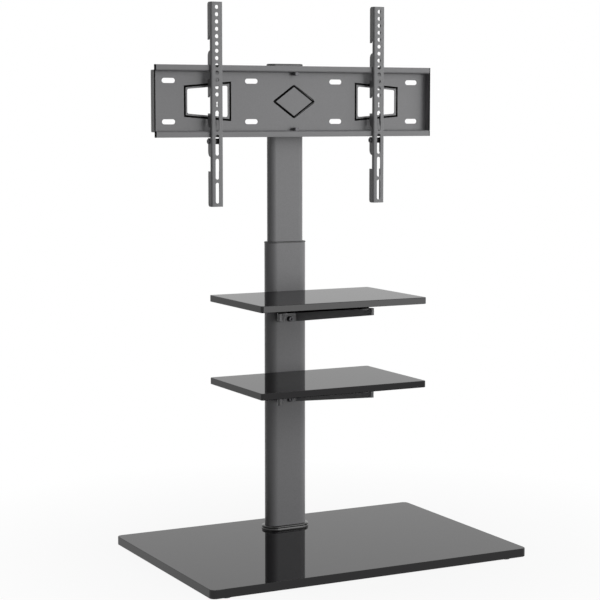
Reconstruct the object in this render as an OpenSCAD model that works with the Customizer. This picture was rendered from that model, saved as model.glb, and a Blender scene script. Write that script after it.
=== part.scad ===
// Floor stand for a television: a heavy base board, a two-part oval column whose
// upper tube slides for height, two shelves on folded brackets, and a swivelling
// pressed tray that two slotted arms hook onto and slide along.
// Millimetres. Origin on the floor under the middle of the base, front towards -Y.

/* [Base board] */
// Width of the base board
base_w = 730; // [600:5:900]
// Depth of the base board
base_d = 500; // [440:5:600]
// Thickness of the base board
base_t = 18; // [16:1:25]
// Corner radius of the base board
base_corner_r = 12; // [4:1:30]
// Bevel along the edges of every board
board_bevel = 0.8; // [0.4:0.1:2]
// Height of the feet
foot_h = 5; // [4:0.5:12]
// Diameter of the feet
foot_d = 22; // [16:1:40]
// Distance of each foot's middle from the side edge
foot_inset_x = 40; // [25:1:60]
// Distance of each foot's middle from the front or back edge
foot_inset_y = 23; // [21:1:60]

/* [Column] */
// Distance of the column's middle from the back edge of the base board
column_inset = 90.5; // [80:0.5:100]
// Width of the lower tube
lower_w = 95; // [90:0.5:110]
// Depth of the lower tube
lower_d = 40; // [38:0.5:50]
// Wall of the lower tube
lower_wall = 2; // [1.5:0.1:2.5]
// Length of the lower tube
lower_h = 632; // [612:1:700]
// Width of the upper tube
upper_w = 83; // [78:0.5:84]
// Depth of the upper tube
upper_d = 28; // [26:0.5:29]
// Wall of the upper tube
upper_wall = 2; // [1.5:0.1:2.5]
// How far the upper tube stands out of the lower one at rest
upper_out = 382; // [370:1:420]
// How far the upper tube reaches into the lower one at rest
upper_in = 258; // [250:1:270]
// Travel of the upper tube above its rest place
lift_up = 50; // [20:5:50]
// Travel of the upper tube below its rest place
lift_down = 150; // [60:5:150]
// Height of the guide bush's visible rim
bush_rim_h = 3; // [2.5:0.5:10]
// How far the rim stands past the lower tube
bush_rim_over = 0.6; // [0.2:0.1:2]
// Depth of the guide bush inside the lower tube
bush_skirt = 75; // [70:1:100]
// Height of the glide at the upper tube's bottom end
glide_h = 32; // [20:1:32]
// Thickness of the glide's lip under the tube end
glide_lip = 3; // [2:0.5:5]
// Width of the glide's front channel, which passes the shelf nuts
glide_channel_w = 40; // [34:1:50]
// Gap between pieces that slide on each other
slide_clear = 0.3; // [0.2:0.05:0.4]
// Gap between pieces that are pressed or set into each other
seat_clear = 0.1; // [0.05:0.05:0.2]
// Thickness of the cap on the upper tube
cap_t = 4; // [3:0.5:8]
// How far the cap stands past the upper tube
cap_over = 0.7; // [0.5:0.1:3]
// Depth of the cap's plug inside the tube
cap_plug = 12; // [6:1:20]
// Wall of the cap's plug
cap_wall = 2; // [1.5:0.5:4]
// Radius on the edges of moulded caps and rims
mould_round = 1.5; // [0.5:0.1:1.8]

/* [Column foot] */
// Width of the trim ring around the column's foot, past the tube
ring_over = 7.5; // [5:0.5:12]
// Height of the trim ring
ring_h = 8; // [5:0.5:14]
// Radius on the trim ring's edges
ring_round = 3; // [1:0.5:4]
// Thickness of the threaded plate inside the tube's foot
foot_plate_t = 8; // [5:0.5:12]
// Thickness of the clamping plate under the board
under_plate_t = 3; // [2:0.5:4]
// Width of the clamping plate under the board
under_plate_w = 100; // [90:1:120]
// Depth of the clamping plate under the board
under_plate_d = 56; // [50:1:70]
// Corner radius of the clamping plate
under_plate_r = 6; // [3:1:10]
// Depth of the pocket in the board's underside
pocket_depth = 8; // [8:0.5:10]
// Gap between the clamping plate and its pocket
pocket_clear = 2; // [0.5:0.5:4]
// Distance between the base bolts along the width
base_bolt_dx = 56; // [40:1:56]
// Distance between the base bolts along the depth
base_bolt_dy = 18; // [17:0.5:18]

/* [Shelves] */
// Width of each shelf
shelf_w = 386; // [300:2:460]
// Depth of each shelf
shelf_d = 252; // [230:2:280]
// Thickness of each shelf
shelf_t = 14; // [10:0.5:18]
// Corner radius of each shelf
shelf_corner_r = 5; // [3:0.5:20]
// Gap between a shelf's back edge and the column
shelf_gap = 6.6; // [3:0.1:12]
// Height of the lower shelf's top above the base board
shelf_low = 351; // [300:1:360]
// Distance between the tops of the two shelves
shelf_pitch = 177; // [165:1:177]

/* [Shelf brackets] */
// Thickness of the bracket steel
bracket_t = 3; // [2:0.5:4]
// Width of the plate that lies on the column
bracket_plate_w = 32.7; // [30:0.1:40]
// Height of the bracket at the column
bracket_h = 40.7; // [38:0.1:50]
// Height of each arm at its tip
bracket_tip_h = 14.5; // [10:0.5:20]
// Reach of the arms in front of the column
bracket_reach = 174.5; // [150:0.5:200]
// Angle that each arm turns out from straight ahead
bracket_angle = 29.4; // [24:0.1:34]
// Length of the lip folded in at each tip
bracket_lip = 8; // [5:0.5:12]
// Middle radius of the bracket's folds
bracket_fold_r = 4; // [3:0.5:6]
// Distance from the column face to the front pads
pad_reach = 158; // [140:0.5:162]
// Distance from the column face to the rear pad
rear_pad_reach = 25; // [20:1:40]
// Diameter of the pads under a shelf
pad_d = 20; // [12:0.5:20]
// Height of the pads under a shelf
pad_h = 13.3; // [8:0.1:20]
// Diameter of the dimple in each pad's middle
pad_dimple_d = 8; // [3:0.5:9]
// Depth of the dimple in each pad
pad_dimple = 1.5; // [0.5:0.5:3]
// Rim of tab left round each pad
tab_rim = 1.5; // [1:0.5:4]
// Height of the bracket's lower bolt above its bottom edge
bracket_bolt_low = 6.2; // [5:0.1:8]
// Distance between the two bracket bolts
bracket_bolt_pitch = 20; // [14:1:20]

/* [Mount tray] */
// Width of the tray
tray_w = 660; // [600:5:760]
// Height of the tray over its lips
tray_h = 150; // [146:1:160]
// Depth from the lips' front to the panel's back
tray_d = 20; // [20:0.5:24]
// Thickness of the tray steel
tray_t = 2; // [1.5:0.1:2.5]
// Height of each lip
lip_h = 13; // [12:0.5:15]
// Middle radius of the tray's folds
tray_fold_r = 2.5; // [2:0.1:3]
// Gap between the panel's back and the upper tube
tray_gap = 28.5; // [27:0.5:32]
// Distance of the tray's middle below the upper tube's top
tray_drop = 77; // [76:1:110]
// Length of the tray's slots
tray_slot_l = 30; // [16:1:36]
// Width of the tray's slots
tray_slot_w = 10.5; // [8:0.5:14]
// Distance from the middle to the inner slots
tray_slot_in = 101; // [90:1:110]
// Distance from the middle to the outer slots
tray_slot_out = 291.3; // [285:0.1:300]
// Height of the upper slots above the tray's middle
tray_slot_up = 42.5; // [40:0.5:48]
// Distance from the middle to a window's near end
window_near = 156.4; // [145:0.1:165]
// Length of a window
window_l = 92.7; // [60:0.1:98]
// Height of a window's near end
window_tall = 66; // [50:1:68]
// Height of a window's far end
window_short = 51; // [40:1:60]
// Corner radius of a window
window_r = 4; // [3:0.5:6]
// Distance from a window's edge to the middle of its pressed groove
groove_gap = 5.7; // [4.8:0.1:6.5]
// Corner radius of the groove around a window
groove_r = 2.4; // [1.8:0.1:6]
// Width of the pressed grooves
groove_w = 3.6; // [2:0.1:3.8]
// Depth of the pressed grooves
groove_depth = 2.8; // [1:0.1:3]
// Thickness of the steel left under a groove
groove_skin = 1.4; // [1.2:0.1:2]
// Width of the middle diamond along its groove
diamond_w = 93; // [70:1:100]
// Height of the middle diamond along its groove
diamond_h = 66.5; // [50:0.5:70]
// Corner radius of the diamond
diamond_r = 4.5; // [4:0.5:8]

/* [Swivel] */
// Thickness of the yoke steel
yoke_t = 3; // [2.5:0.5:4]
// Width of the yoke
yoke_w = 60; // [54:1:60]
// Middle radius of the yoke's folds
yoke_fold_r = 3.5; // [3:0.5:5]
// Radius of the yoke's noses around the pivots
yoke_nose_r = 7.4; // [7:0.1:7.5]
// Diameter of the pivot bolts
pivot_d = 8; // [6:0.5:8.5]
// Gap around a pivot bolt in the yoke
pivot_clear = 0.05; // [0.03:0.01:0.09]
// Diameter of the pivot bolts' heads
pivot_head_d = 13; // [11:0.5:13]
// Height of the pivot bolts' heads
pivot_head_h = 4.6; // [3:0.1:5]
// Width across flats of the pivot nuts
pivot_nut_af = 13; // [11:0.5:13]
// Height of the pivot nuts
pivot_nut_h = 6.5; // [4:0.5:9]
// Thickness of the plastic pivot washers
pivot_washer_t = 1; // [0.8:0.1:1.5]
// Diameter of the plastic pivot washers
pivot_washer_d = 12.8; // [11:0.1:12.8]
// Play between tray, washers and yoke
pivot_play = 0.15; // [0.1:0.05:0.3]
// Thickness of the nut plate inside the upper tube
yoke_nut_t = 4; // [3:0.5:6]
// Height of the nut plate inside the upper tube
yoke_nut_h = 90; // [84:1:100]
// Width of the nut plate inside the upper tube
yoke_nut_w = 50; // [46:1:50]
// Height of the yoke bolts' heads
yoke_head_h = 3; // [2.5:0.1:4]
// Width across flats of the yoke bolts' sockets
yoke_socket = 4; // [3:0.5:5]
// Distance between the yoke bolts along the width
yoke_bolt_dx = 32; // [24:1:34]
// Distance between the yoke bolts along the height
yoke_bolt_dz = 66; // [50:1:70]

/* [Arms] */
// Width of an arm
arm_w = 26.5; // [24:0.5:32]
// Depth of an arm's flanges
arm_d = 18.4; // [17.5:0.1:18.8]
// Thickness of the arm steel
arm_t = 2; // [1.5:0.1:2.5]
// Distance of the left arm from the middle at rest
arm_left_x = 192.4; // [60:0.1:290]
// Distance of the right arm from the middle at rest
arm_right_x = 195.1; // [60:0.1:290]
// Depth of the face strip that passes in front of the lips
arm_face_d = 7; // [6:0.1:8]
// Middle radius of the arm's folds
arm_fold_r = 2; // [1.5:0.1:3]
// Diameter of the arm's round holes
arm_hole_d = 8.3; // [6.6:0.1:9]
// Distance between the round holes
arm_hole_pitch = 15; // [12:0.5:15]
// Number of round holes
arm_hole_count = 13; // [5:1:13]
// Distance from the arm's top to the first hole
arm_hole_first = 10.7; // [8:0.1:12]
// Distance from the small sight slot's lower end to the first slot
arm_slot_gap = 7.35; // [6:0.05:12]
// Width of the arm's slots
arm_slot_w = 8.3; // [6.6:0.1:9]
// Length of the bridges between the slots
arm_slot_bridge = 6.5; // [5:0.5:12]
// Distance from the last slot to the arm's bottom end
arm_slot_rim = 6.85; // [5:0.05:12]
// Number of slots
arm_slot_count = 4; // [2:1:5]
// Distance from the last round hole's middle to the small sight slot's middle
sight_slot_gap = 20.5; // [14:0.1:24]
// Length of the small sight slot
sight_slot_l = 11; // [8:0.5:14]
// Diameter of the small sight slot's round ends
sight_slot_d = 4; // [3:0.2:5]
// Width of the small sight slot's neck
sight_slot_neck = 2.6; // [2:0.2:2.8]
// Radius of the arm's outer corners
arm_corner_r = 6; // [3:0.5:9]
// Length of the arm's flange above its first notch
flange_top_l = 77.8; // [70:0.2:85]
// Length of the notch between the top flange and the hook
notch_top_l = 22.1; // [20:0.1:26]
// Height of the hook above the tray's top edge
hook_rise = 29.8; // [26:0.2:34]
// Length of the hook's finger behind the top lip
hook_finger = 10; // [6:0.5:10.5]
// Distance of the upper tongue below the tray's top wall
tongue_drop = 16.2; // [12:0.2:24]
// Length of the upper tongue
tongue_l = 37.8; // [30:0.2:42]
// Distance of the lower tongue below the tray's middle
tongue_low_drop = 25.2; // [22:0.2:28]
// Length of the lower tongue
tongue_low_l = 30.4; // [26:0.2:32]
// Gap between the tray's bottom edge and the foot flange
foot_gap = 1.4; // [1:0.1:2]
// Length of the foot flange that carries the lock screw
foot_l = 39.4; // [34:0.2:44]
// Length of the notch below the foot flange
notch_low_l = 30; // [24:0.5:36]
// Length of the arm's flange below its last notch
flange_low_l = 73.9; // [66:0.1:80]
// Height of the slanted end of a flange tooth
tooth_rise = 9.5; // [5:0.5:12]
// Depth of a flange tooth's blunt tip
tooth_tip = 6; // [4:0.5:8]

/* [Lock screws] */
// Diameter of a lock screw
lock_d = 6; // [5:0.5:6.5]
// Diameter of a lock screw's head
lock_head_d = 10.5; // [9:0.5:12]
// Height of a lock screw's head
lock_head_h = 3.3; // [2.5:0.1:5]
// Width across flats of a lock screw's socket
lock_socket = 4; // [3:0.5:5]
// Diameter of the lock sleeve
lock_sleeve_d = 12; // [11:0.5:13]
// Distance of the lock screw's middle from the flange's rear edge
lock_inset = 5.5; // [5:0.1:8]
// Gap between the tray's bottom edge and the sleeve around the lock screw
lock_gap = 2.4; // [1.5:0.1:3]
// Width across flats of a lock nut
lock_nut_af = 10; // [9:0.5:11]
// Height of a lock nut
lock_nut_h = 5; // [3:0.5:7]
// How far a screw stands out of its nut
thread_out = 1; // [0.5:0.1:3]

/* [Fasteners] */
// Diameter of the small screws
small_d = 6; // [5:0.5:6.5]
// Diameter of the small screws' heads
small_head_d = 10; // [9:0.5:11]
// Height of the small screws' heads
small_head_h = 6; // [4:0.5:7]
// Width across flats of the small screws' sockets
small_socket = 5; // [4:0.5:5]
// Diameter of the large bolts
large_d = 8; // [7:0.5:8.5]
// Diameter of the large bolts' heads
large_head_d = 13; // [12:0.5:14]
// Height of the large bolts' heads
large_head_h = 4.4; // [3:0.2:4.6]
// Width across flats of the large bolts' sockets
large_socket = 6; // [5:0.5:6]
// Thickness of steel washers
washer_t = 1.6; // [1:0.1:2]
// How far a washer stands past the head on it
washer_over = 1.4; // [1:0.1:2]
// Gap around a screw in its thread or hole
thread_clear = 0.1; // [0.05:0.05:0.2]
// Gap around a screw in a plain clearance hole
hole_clear = 0.4; // [0.2:0.1:0.6]
// Thickness of the nut plates behind the shelf brackets
bracket_nut_t = 3; // [2:0.1:3.2]
// Width of the nut plates behind the shelf brackets
bracket_nut_w = 24; // [20:1:28]
// Edge of a nut plate past its outer threads
bracket_nut_rim = 6; // [5:0.5:6]
// Thickness of the clamp plate inside the upper tube
clamp_t = 5; // [4:0.5:7]
// Width of the clamp plate inside the upper tube
clamp_w = 24; // [20:1:30]
// Edge of the clamp plate past its threads
clamp_rim = 12; // [9:1:12]
// Height of the height bolts' heads
height_head_h = 8; // [6:0.5:10]
// Distance of the upper height bolt below the lower tube's top
height_bolt_top = 15; // [14:1:20]
// Distance between the two height bolts
height_bolt_pitch = 35; // [30:1:35]

/* [Hidden] */
$fn = 64;
// Overrun of every cut past the face it opens
over = 1;
// Smallest radius inside the corner of a pressed groove
least_r = 0.8;
// Straight steps in each rounded bend of a folded sheet
fold_steps = 6;
// Straight steps in each rounded outline corner
corner_steps = 8;
steel_black = "#3c3d40";
gloss_black = "#0d0d10";
plastic_black = "#17181a";
zinc_black = "#232427";

// Distance of the column's middle behind the middle of the base
column_y = base_d / 2 - column_inset;

// Heights, from the floor up
base_top = foot_h + base_t;
lower_top = base_top + lower_h;
upper_top = lower_top + upper_out;
upper_bottom = lower_top - upper_in;
shelf_lower_top = base_top + shelf_low;
shelf_upper_top = shelf_lower_top + shelf_pitch;
tray_z = upper_top - tray_drop;
arm_top = tray_z + tray_h / 2 + hook_rise + notch_top_l + flange_top_l;
arm_bottom = tray_z - tray_h / 2 - foot_gap - foot_l - notch_low_l - flange_low_l;
arm_h = arm_top - arm_bottom;

// Faces, from front to back
lower_front = column_y - lower_d / 2;
lower_back = column_y + lower_d / 2;
upper_front = column_y - upper_d / 2;
upper_back = column_y + upper_d / 2;
panel_back = upper_front - tray_gap;
panel_front = panel_back - tray_t;
lip_front = panel_back - tray_d;
lip_back = lip_front + tray_t;
face_back = lip_front - slide_clear;
arm_front = face_back - arm_face_d;
arm_back = arm_front + arm_d;
recess_half = tray_h / 2 - lip_h;
pivot_y = (lip_back + panel_front) / 2;

function unit(v) = v / norm(v);
function left_of(v) = [-v[1], v[0]];
function turned(v, a) = [v[0] * cos(a) - v[1] * sin(a), v[0] * sin(a) + v[1] * cos(a)];
function turn_between(d1, d2) = atan2(d1[0] * d2[1] - d1[1] * d2[0], d1 * d2);
function reversed(list) = [for (i = [len(list) - 1:-1:0]) list[i]];
function arc(centre, r, a0, a1) =
    [for (i = [0:corner_steps]) let (a = a0 + (a1 - a0) * i / corner_steps) centre + r * [cos(a), sin(a)]];

// Points of one round bend in a sheet, on the side that is side * t / 2 off the middle line
function bend_points(before, corner, after, t, r, side) =
    let (d1 = unit(corner - before), d2 = unit(after - corner), phi = turn_between(d1, d2))
    let (way = phi > 0 ? 1 : -1, start = corner - d1 * r * tan(abs(phi) / 2))
    let (centre = start + left_of(d1) * way * r)
    [for (k = [0:fold_steps]) centre + turned(left_of(d1), phi * k / fold_steps) * (side * t / 2 - way * r)];

// One side of a folded sheet that follows a path of corners
function sheet_side(path, t, r, side) =
    let (last = len(path) - 1)
    concat(
        [path[0] + left_of(unit(path[1] - path[0])) * side * t / 2],
        [for (i = [1:last - 1]) each bend_points(path[i - 1], path[i], path[i + 1], t, r, side)],
        [path[last] + left_of(unit(path[last] - path[last - 1])) * side * t / 2]
    );

// Section of a sheet of thickness t folded along a path, with round bends
module folded_section(path, t, r) {
    polygon(concat(sheet_side(path, t, r, 1), reversed(sheet_side(path, t, r, -1))));
}

// A convex outline with round corners, from the corner circles' middles in anticlockwise order
module rounded_outline(middles, r) {
    n = len(middles);
    edge_out = [for (i = [0:n - 1]) -left_of(unit(middles[(i + 1) % n] - middles[i]))];
    polygon([
        for (i = [0:n - 1]) let (before = edge_out[(i + n - 1) % n], phi = turn_between(before, edge_out[i]))
            for (k = [0:corner_steps]) middles[i] + turned(before, phi * k / corner_steps) * r,
    ]);
}

// A stadium: a rectangle with half-round ends along X
module oval(w, d) {
    square([w - d, d], center = true);
    for (side = [-1, 1]) translate([side * (w - d) / 2, 0]) circle(d = d);
}

module rounded_rect(w, d, r) {
    square([w - 2 * r, d], center = true);
    square([w, d - 2 * r], center = true);
    for (sx = [-1, 1], sy = [-1, 1]) translate([sx * (w / 2 - r), sy * (d / 2 - r)]) circle(r);
}

// Extrudes a section drawn in Y and Z along X, over a width centred on X = 0
module across(width) {
    translate([-width / 2, 0, 0]) rotate([90, 0, 90]) linear_extrude(width) children();
}

// Extrudes an outline drawn in X and Z from y0 back to y1
module through_y(y0, y1) {
    translate([0, y1, 0]) rotate([90, 0, 0]) linear_extrude(y1 - y0) children();
}

// A disc of radius r whose side follows the given edge points
module turned_edge(r, h, edge) {
    rotate_extrude() polygon(concat([[0, 0]], [for (p = edge) [r + p[0], p[1]]], [[0, h]]));
}

// A bar with the same edge on both long sides, along X
module edged_bar(length, half, edge) {
    across(length) polygon(concat(
        [for (p = edge) [half + p[0], p[1]]], reversed([for (p = edge) [-half - p[0], p[1]]])
    ));
}

// Edge of a board: a small bevel at the top and the bottom
function bevelled_edge(t, c) = [[-c, 0], [0, c], [0, t - c], [-c, t]];

// Edge of a moulded piece: square at the bottom, rounded at the top
function rounded_edge(h, r) = concat([[0, 0]], arc([-r, h - r], r, 0, 90));

module board(w, d, t, r) {
    edge = bevelled_edge(t, board_bevel);
    edged_bar(w - 2 * r, d / 2, edge);
    rotate(90) edged_bar(d - 2 * r, w / 2, edge);
    for (sx = [-1, 1], sy = [-1, 1])
        translate([sx * (w / 2 - r), sy * (d / 2 - r), 0]) turned_edge(r, t, edge);
}

// A solid oval with a rounded top edge
module moulded_oval(w, d, h, r) {
    edge = rounded_edge(h, r);
    edged_bar(w - d, d / 2, edge);
    for (side = [-1, 1]) translate([side * (w - d) / 2, 0, 0]) turned_edge(d / 2, h, edge);
}

// A screw along Z: its head stands on Z = 0 and its shank hangs below
module screw(d, length, head_d, head_h, socket) {
    difference() {
        union() {
            cylinder(d = head_d, h = head_h);
            translate([0, 0, -length]) cylinder(d = d, h = length);
        }
        translate([0, 0, head_h / 2]) cylinder(d = socket / cos(30), h = head_h, $fn = 6);
    }
}

module washer(d, bore, t) {
    difference() {
        cylinder(d = d, h = t);
        translate([0, 0, -over]) cylinder(d = bore, h = t + 2 * over);
    }
}

module hex_nut(af, bore, h) {
    difference() {
        cylinder(d = af / cos(30), h = h, $fn = 6);
        translate([0, 0, -over]) cylinder(d = bore, h = h + 2 * over);
    }
}

// Heads towards the front, shanks towards the back
module facing_front() rotate([90, 0, 0]) children();

// Heads towards the back, shanks towards the front
module facing_back() rotate([-90, 0, 0]) children();

module at_base_bolts() {
    for (sx = [-1, 1], sy = [-1, 1])
        translate([sx * base_bolt_dx / 2, column_y + sy * base_bolt_dy / 2, 0]) children();
}

/* Base */

pocket_top = foot_h + pocket_depth;
under_plate_z = pocket_top - under_plate_t;

module base_board() {
    pocket_w = under_plate_w + 2 * pocket_clear;
    pocket_d = under_plate_d + 2 * pocket_clear;
    color(gloss_black) difference() {
        translate([0, 0, foot_h]) board(base_w, base_d, base_t, base_corner_r);
        translate([0, column_y, foot_h - over]) linear_extrude(pocket_depth + over)
            rounded_rect(pocket_w, pocket_d, under_plate_r + pocket_clear);
        at_base_bolts() translate([0, 0, pocket_top - over])
            cylinder(d = large_d + 2 * hole_clear, h = base_top - pocket_top + 2 * over);
    }
}

// Round pads under the four corners
module base_feet() {
    edge = [[0, 0], [0, foot_h / 2], [-foot_h / 4, foot_h]];
    color(plastic_black) for (sx = [-1, 1], sy = [-1, 1])
        translate([sx * (base_w / 2 - foot_inset_x), sy * (base_d / 2 - foot_inset_y), foot_h])
            mirror([0, 0, 1]) turned_edge(foot_d / 2, foot_h, edge);
}

// Moulded trim that hides the joint between column and board
module foot_ring() {
    color(gloss_black) translate([0, column_y, base_top]) difference() {
        moulded_oval(lower_w + 2 * ring_over, lower_d + 2 * ring_over, ring_h, ring_round);
        translate([0, 0, -over]) linear_extrude(ring_h + 2 * over)
            oval(lower_w + 2 * seat_clear, lower_d + 2 * seat_clear);
    }
}

module column_foot_plate() {
    inner_w = lower_w - 2 * lower_wall - 2 * seat_clear;
    inner_d = lower_d - 2 * lower_wall - 2 * seat_clear;
    color(zinc_black) difference() {
        translate([0, column_y, base_top]) linear_extrude(foot_plate_t) oval(inner_w, inner_d);
        at_base_bolts() translate([0, 0, base_top - over])
            cylinder(d = large_d + 2 * thread_clear, h = foot_plate_t + 2 * over);
    }
}

module under_plate() {
    color(zinc_black) difference() {
        translate([0, column_y, under_plate_z]) linear_extrude(under_plate_t)
            rounded_rect(under_plate_w, under_plate_d, under_plate_r);
        at_base_bolts() translate([0, 0, under_plate_z - over])
            cylinder(d = large_d + 2 * hole_clear, h = under_plate_t + 2 * over);
    }
}

module base_bolts() {
    reach = base_top + foot_plate_t - under_plate_z;
    color(zinc_black) at_base_bolts() translate([0, 0, under_plate_z]) mirror([0, 0, 1])
        screw(large_d, reach, large_head_d, large_head_h, large_socket);
}

/* Lower column */

height_bolt_z = [lower_top - height_bolt_top, lower_top - height_bolt_top - height_bolt_pitch];
bracket_bottom_upper = shelf_upper_top - shelf_t - pad_h - bracket_h;
bracket_bottom_lower = bracket_bottom_upper - shelf_pitch;
bracket_bolt_z = [for (bottom = [bracket_bottom_upper, bracket_bottom_lower], i = [0, 1])
    bottom + bracket_bolt_low + i * bracket_bolt_pitch];

module lower_column() {
    color(steel_black) difference() {
        translate([0, column_y, base_top]) linear_extrude(lower_h) difference() {
            oval(lower_w, lower_d);
            oval(lower_w - 2 * lower_wall, lower_d - 2 * lower_wall);
        }
        for (z = height_bolt_z) translate([0, lower_back - lower_wall - over, z])
            facing_back() cylinder(d = large_d + 2 * hole_clear, h = lower_wall + 2 * over);
        for (z = bracket_bolt_z) translate([0, lower_front - over, z])
            facing_back() cylinder(d = small_d + 2 * hole_clear, h = lower_wall + 2 * over);
    }
}

// Moulded guide in the mouth of the lower tube
module guide_bush() {
    color(plastic_black) difference() {
        union() {
            translate([0, column_y, lower_top]) moulded_oval(
                lower_w + 2 * bush_rim_over, lower_d + 2 * bush_rim_over, bush_rim_h, mould_round
            );
            translate([0, column_y, lower_top - bush_skirt]) linear_extrude(bush_skirt)
                oval(lower_w - 2 * lower_wall - 2 * seat_clear, lower_d - 2 * lower_wall - 2 * seat_clear);
        }
        translate([0, column_y, lower_top - bush_skirt - over])
            linear_extrude(bush_skirt + bush_rim_h + 2 * over)
            oval(upper_w + 2 * slide_clear, upper_d + 2 * slide_clear);
        for (z = height_bolt_z) translate([0, upper_back, z])
            facing_back() cylinder(d = large_d + 2 * hole_clear, h = lower_d / 2);
    }
}

clamp_back = upper_back - upper_wall - slide_clear;

module height_bolts() {
    head_y = lower_back + washer_t;
    color(zinc_black) for (z = height_bolt_z) translate([0, head_y, z]) facing_back()
        screw(large_d, head_y - clamp_back + clamp_t, large_head_d, height_head_h, large_socket);
}

module height_washers() {
    color(zinc_black) for (z = height_bolt_z) translate([0, lower_back, z]) facing_back()
        washer(large_head_d + 2 * washer_over, large_d + 2 * thread_clear, washer_t);
}

// Threaded bar inside the upper tube that the height bolts pull against its back wall
module clamp_plate() {
    low = height_bolt_z[1] - clamp_rim;
    color(zinc_black) difference() {
        translate([-clamp_w / 2, clamp_back - clamp_t, low])
            cube([clamp_w, clamp_t, height_bolt_pitch + 2 * clamp_rim]);
        for (z = height_bolt_z) translate([0, clamp_back - clamp_t - over, z])
            facing_back() cylinder(d = large_d + 2 * thread_clear, h = clamp_t + 2 * over);
    }
}

/* Shelves */

shelf_y = lower_front - shelf_gap - shelf_d / 2;

module shelf_board(top) {
    color(gloss_black) translate([0, shelf_y, top - shelf_t])
        board(shelf_w, shelf_d, shelf_t, shelf_corner_r);
}

module shelf_upper() shelf_board(shelf_upper_top);

module shelf_lower() shelf_board(shelf_lower_top);

// Middle line of the bracket sheet, seen from above
bracket_line_y = lower_front - bracket_t / 2;
bracket_root = [bracket_plate_w / 2, bracket_line_y];
bracket_run = bracket_reach - bracket_t / 2;
bracket_tip = bracket_root + bracket_run * [tan(bracket_angle), -1];
bracket_way = unit(bracket_tip - bracket_root);
bracket_inward = [bracket_way[1], -bracket_way[0]];
bracket_lip_end = bracket_tip + bracket_inward * bracket_lip;
function mirrored(p) = [-p[0], p[1]];

// A front pad lies beside its arm, on a tab folded inwards
pad_along = (pad_reach - bracket_t / 2) / cos(bracket_angle);
pad_offset = pad_d / 2 + tab_rim - bracket_t;
front_pad = bracket_root + bracket_way * pad_along + bracket_inward * pad_offset;
rear_pad = [0, lower_front - rear_pad_reach];
tab_d = pad_d + 2 * tab_rim;

module tab(middle, way, root) {
    side = left_of(way) * tab_d / 2;
    translate(middle) circle(d = tab_d);
    polygon([middle - side, middle + side, middle + side + way * root, middle - side + way * root]);
}

// Two tapering arms, a plate on the column and three pad tabs, folded from one sheet
module shelf_bracket(bottom) {
    top = bottom + bracket_h;
    plan = [
        mirrored(bracket_lip_end), mirrored(bracket_tip), mirrored(bracket_root),
        bracket_root, bracket_tip, bracket_lip_end,
    ];
    front = lower_front - bracket_reach - bracket_t;
    tip_bottom = top - bracket_tip_h;
    color(steel_black) difference() {
        union() {
            intersection() {
                translate([0, 0, bottom]) linear_extrude(bracket_h)
                    folded_section(plan, bracket_t, bracket_fold_r);
                across(shelf_w) polygon([
                    [lower_front + over, bottom], [lower_front - bracket_t, bottom],
                    [front, tip_bottom], [front, top], [lower_front + over, top],
                ]);
            }
            translate([0, 0, top - bracket_t]) linear_extrude(bracket_t) {
                tab(front_pad, -bracket_inward, pad_offset);
                tab(mirrored(front_pad), -mirrored(bracket_inward), pad_offset);
                tab(rear_pad, [0, 1], rear_pad_reach - bracket_t / 2);
            }
        }
        for (i = [0, 1])
            translate([0, lower_front - bracket_t - over, bottom + bracket_bolt_low + i * bracket_bolt_pitch])
            facing_back() cylinder(d = small_d + 2 * hole_clear, h = bracket_t + 2 * over);
    }
}

module shelf_bracket_upper() shelf_bracket(bracket_bottom_upper);

module shelf_bracket_lower() shelf_bracket(bracket_bottom_lower);

// Rubber pads between bracket and board, dimpled on top
module shelf_pads(shelf_top) {
    color(plastic_black) for (p = [front_pad, mirrored(front_pad), rear_pad])
        translate([p[0], p[1], shelf_top - shelf_t - pad_h]) difference() {
            cylinder(d = pad_d, h = pad_h);
            translate([0, 0, pad_h - pad_dimple]) cylinder(d = pad_dimple_d, h = pad_dimple + over);
        }
}

module shelf_pads_upper() shelf_pads(shelf_upper_top);

module shelf_pads_lower() shelf_pads(shelf_lower_top);

bracket_nut_front = lower_front + lower_wall;

module bracket_bolts() {
    head_y = lower_front - bracket_t - washer_t;
    color(zinc_black) for (z = bracket_bolt_z) translate([0, head_y, z]) facing_front()
        screw(small_d, bracket_nut_front + bracket_nut_t - head_y, small_head_d, small_head_h, small_socket);
}

module bracket_washers() {
    color(zinc_black) for (z = bracket_bolt_z) translate([0, lower_front - bracket_t, z]) facing_front()
        washer(small_head_d + 2 * washer_over, small_d + 2 * thread_clear, washer_t);
}

// Threaded plates welded behind the front wall of the lower tube
module bracket_nut_plates() {
    low = bracket_bolt_low - bracket_nut_rim;
    color(zinc_black) difference() {
        for (bottom = [bracket_bottom_upper, bracket_bottom_lower])
            translate([-bracket_nut_w / 2, bracket_nut_front, bottom + low])
            cube([bracket_nut_w, bracket_nut_t, bracket_bolt_pitch + 2 * bracket_nut_rim]);
        for (z = bracket_bolt_z) translate([0, bracket_nut_front - over, z])
            facing_back() cylinder(d = small_d + 2 * thread_clear, h = bracket_nut_t + 2 * over);
    }
}

/* Upper column */

module at_yoke_bolts(y) {
    for (sx = [-1, 1], sz = [-1, 1])
        translate([sx * yoke_bolt_dx / 2, y, tray_z + sz * yoke_bolt_dz / 2]) children();
}

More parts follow.
